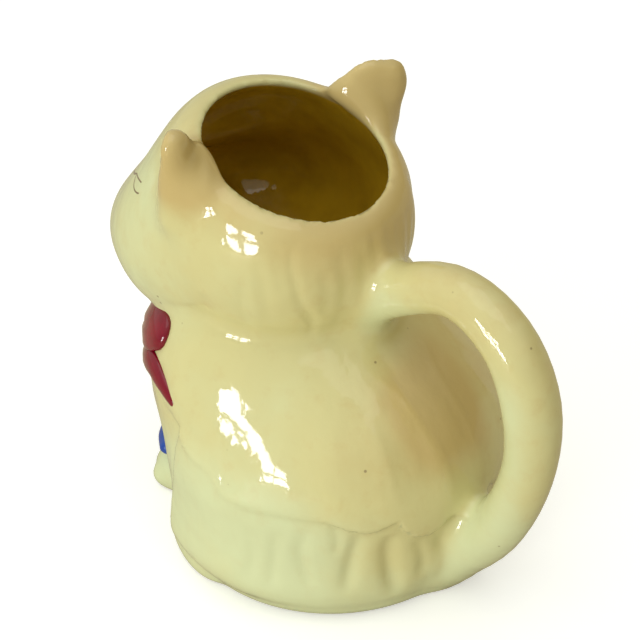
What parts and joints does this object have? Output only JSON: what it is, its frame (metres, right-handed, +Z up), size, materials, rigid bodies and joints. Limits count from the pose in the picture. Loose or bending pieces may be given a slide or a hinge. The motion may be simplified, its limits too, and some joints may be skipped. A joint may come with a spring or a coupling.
{
  "type": "cream jug",
  "caption": "Hollow glazed pottery cream jug in the form of a seated cat, filled and poured through the open crown of the head, with the tail as its handle.",
  "frame": {"origin": "on the table, in the cat's plane of symmetry, under the middle of the flat foot", "axes": "the cat looks along -Y, its left side is +X, the tail handle is at +Y and +Z is up"},
  "size_m": [0.0882, 0.1291, 0.1191],
  "materials": {
    "cream_glaze": "clear gloss glaze over cream earthenware, stained tan with age",
    "maroon_glaze": "gloss, painted under the glaze",
    "brown_glaze": "gloss, painted under the glaze",
    "blue_glaze": "gloss, painted under the glaze"
  },
  "bodies": {
    "root": {"body_shell": "cream_glaze", "tail_handle": "cream_glaze", "nose": "brown_glaze", "bow_knot": "maroon_glaze", "left_bow_loop": "maroon_glaze", "left_bow_tail": "maroon_glaze", "left_ear": "cream_glaze", "left_forepaw": "cream_glaze", "left_foreleg": "cream_glaze", "left_cuff": "blue_glaze", "left_hind_foot": "cream_glaze", "right_bow_loop": "maroon_glaze", "right_bow_tail": "maroon_glaze", "right_ear": "cream_glaze", "right_forepaw": "cream_glaze", "right_foreleg": "cream_glaze", "right_cuff": "blue_glaze", "right_hind_foot": "cream_glaze"}
  },
  "joints": []
}
